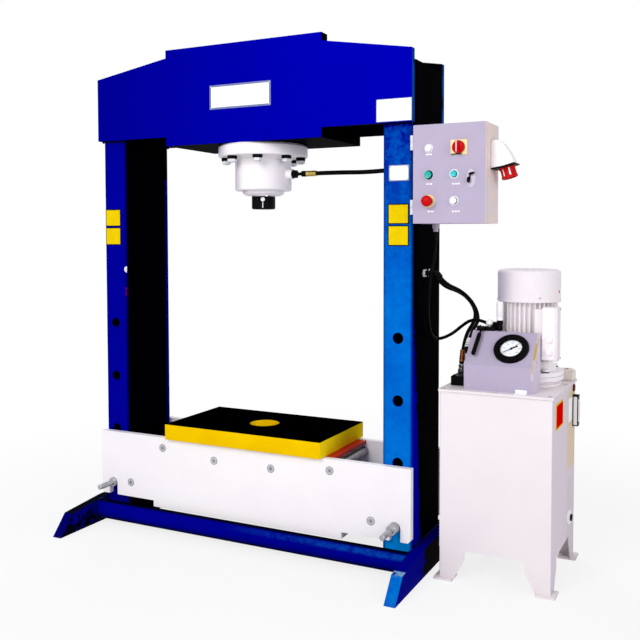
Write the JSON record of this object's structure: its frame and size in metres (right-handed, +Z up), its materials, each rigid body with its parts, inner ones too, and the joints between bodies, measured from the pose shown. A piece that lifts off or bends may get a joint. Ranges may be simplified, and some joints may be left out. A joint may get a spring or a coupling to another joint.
{
  "type": "hydraulic workshop press",
  "caption": "Floor-standing H-frame hydraulic press with a pinned height-adjustable bed and table, a downward ram, a control box and a separate motor-driven oil tank joined by hoses.",
  "frame": {"origin": "centre of the whole part's footprint, on the floor; the ram's axis lies at x = -0.2315 m, y = 0", "axes": "+X from the press towards the power unit, +Y from the front to the back, +Z up"},
  "size_m": [1.945, 0.838, 1.948],
  "materials": {
    "frame_paint": "semi-gloss blue machine enamel",
    "white_paint": "semi-gloss white machine enamel",
    "grey_paint": "light grey powder coat",
    "black_paint": "satin black",
    "red_paint": "red enamel",
    "table_paint": "yellow enamel, blackened top",
    "bright_steel": "turned steel",
    "plated_steel": "zinc plated",
    "hard_chrome": "ground hard chrome",
    "black_steel": "blackened steel",
    "cast_metal": "fine sand casting",
    "motor_metal": "white enamel on finned aluminium",
    "rotor_metal": "turned",
    "hose_rubber": "smooth black rubber cover",
    "black_plastic": "moulded",
    "white_plastic": "moulded",
    "red_plastic": "moulded",
    "green_plastic": "moulded",
    "teal_plastic": "moulded",
    "clear_glass": "flat clear pane"
  },
  "bodies": {
    "frame": {"left_upright": "frame_paint", "right_upright": "frame_paint", "head_front_plate": "frame_paint", "head_rear_plate": "frame_paint", "cylinder_seat": "frame_paint", "left_foot": "frame_paint", "right_foot": "frame_paint", "front_cross_tube": "frame_paint", "rear_cross_tube": "frame_paint", "cylinder_barrel": "white_paint", "cylinder_gland": "white_paint", "cylinder_bolts": "plated_steel", "box_shell": "grey_paint", "relay_panel": "white_plastic", "power_inlet": "white_plastic", "tank_body": "white_paint", "tank_lid": "white_paint", "console_cover": "grey_paint", "gauge_case": "black_paint", "gauge_glass": "clear_glass", "motor_housing": "motor_metal", "motor_cowl": "white_paint", "bell_housing": "motor_metal", "pump": "cast_metal", "valve_block": "black_paint", "pressure_switch": "white_plastic", "manifold_block": "black_paint", "return_filter": "motor_metal", "level_gauge": "white_plastic", "drain_plug": "plated_steel", "hose_unions": "plated_steel", "cylinder_hose": "hose_rubber", "upper_pipe": "bright_steel", "lower_line": "hose_rubber", "upper_line": "hose_rubber", "control_cable": "hose_rubber"},
    "ram": {"ram_rod": "hard_chrome", "ram_piston": "cast_metal", "ram_nose": "black_steel"},
    "bed": {"bed_front_plate": "white_paint", "bed_rear_plate": "white_paint", "bed_spacers": "bright_steel", "bed_cross_bars": "red_paint", "table_plate": "table_paint"},
    "left_pin_body": {"left_pin": "bright_steel"},
    "right_pin_body": {"right_pin": "bright_steel"},
    "door": {"box_door": "grey_paint", "device_collars": "black_plastic", "signal_lamp": "white_plastic"},
    "lock": {"door_lock": "black_steel"},
    "switch": {"main_switch": "red_plastic"},
    "green": {"green_button": "green_plastic"},
    "teal": {"teal_button": "teal_plastic"},
    "white": {"white_button": "white_plastic"},
    "emergency": {"emergency_button": "red_plastic"},
    "needle": {"gauge_needle": "black_steel"},
    "rotor": {"motor_rotor": "rotor_metal"},
    "lever": {"valve_lever": "black_plastic"},
    "relief": {"relief_knob": "white_plastic"},
    "cap": {"filler_cap": "black_plastic"}
  },
  "joints": [
    {"name": "ram_stroke", "type": "slide", "parent": "frame", "child": "ram", "axis": [0, 0, -1], "range_m": [0, 0.35]},
    {"name": "bed_height", "type": "slide", "parent": "frame", "child": "bed", "axis": [0, 0, 1], "range_m": [0, 0.6738]},
    {"name": "left_pin_pull", "type": "slide", "parent": "frame", "child": "left_pin_body", "axis": [0, -1, 0], "range_m": [0, 0.4]},
    {"name": "right_pin_pull", "type": "slide", "parent": "frame", "child": "right_pin_body", "axis": [0, -1, 0], "range_m": [0, 0.4]},
    {"name": "door_hinge", "type": "hinge", "parent": "frame", "child": "door", "pos_m": [0.4665, -0.165, 1.42], "axis": [0, 0, -1], "range_deg": [0, 110]},
    {"name": "lock_turn", "type": "hinge", "parent": "door", "child": "lock", "pos_m": [0.6795, -0.17, 1.403], "axis": [0, -1, 0], "range_deg": [0, 90]},
    {"name": "main_switch_turn", "type": "hinge", "parent": "door", "child": "switch", "pos_m": [0.6375, -0.17, 1.508], "axis": [0, 1, 0], "range_deg": [0, 90]},
    {"name": "green_press", "type": "slide", "parent": "door", "child": "green", "axis": [0, 1, 0], "range_m": [0, 0.005], "stiffness_N_per_m": 400},
    {"name": "teal_press", "type": "slide", "parent": "door", "child": "teal", "axis": [0, 1, 0], "range_m": [0, 0.005], "stiffness_N_per_m": 400},
    {"name": "white_press", "type": "slide", "parent": "door", "child": "white", "axis": [0, 1, 0], "range_m": [0, 0.005], "stiffness_N_per_m": 400},
    {"name": "emergency_press", "type": "slide", "parent": "door", "child": "emergency", "axis": [0, 1, 0], "range_m": [0, 0.006]},
    {"name": "needle_turn", "type": "hinge", "parent": "frame", "child": "needle", "pos_m": [0.7905, -0.046, 0.816], "axis": [0, 0.7071, -0.7071], "range_deg": [0, 246], "stiffness_Nm_per_rad": 0.01},
    {"name": "motor_spin", "type": "hinge", "parent": "frame", "child": "rotor", "pos_m": [0.8095, 0.13, 0.85], "axis": [0, 0, 1], "continuous": true},
    {"name": "lever_pull", "type": "hinge", "parent": "frame", "child": "lever", "pos_m": [0.6715, 0.002, 0.878], "axis": [-1, 0, 0], "range_deg": [0, 30], "stiffness_Nm_per_rad": 3},
    {"name": "relief_turn", "type": "hinge", "parent": "frame", "child": "relief", "pos_m": [0.6915, 0.03, 0.884], "axis": [0, 0, 1], "range_deg": [-180, 180]},
    {"name": "cap_turn", "type": "hinge", "parent": "frame", "child": "cap", "pos_m": [0.6065, 0.228, 0.69], "axis": [0, 0, 1], "range_deg": [0, 90]}
  ]
}
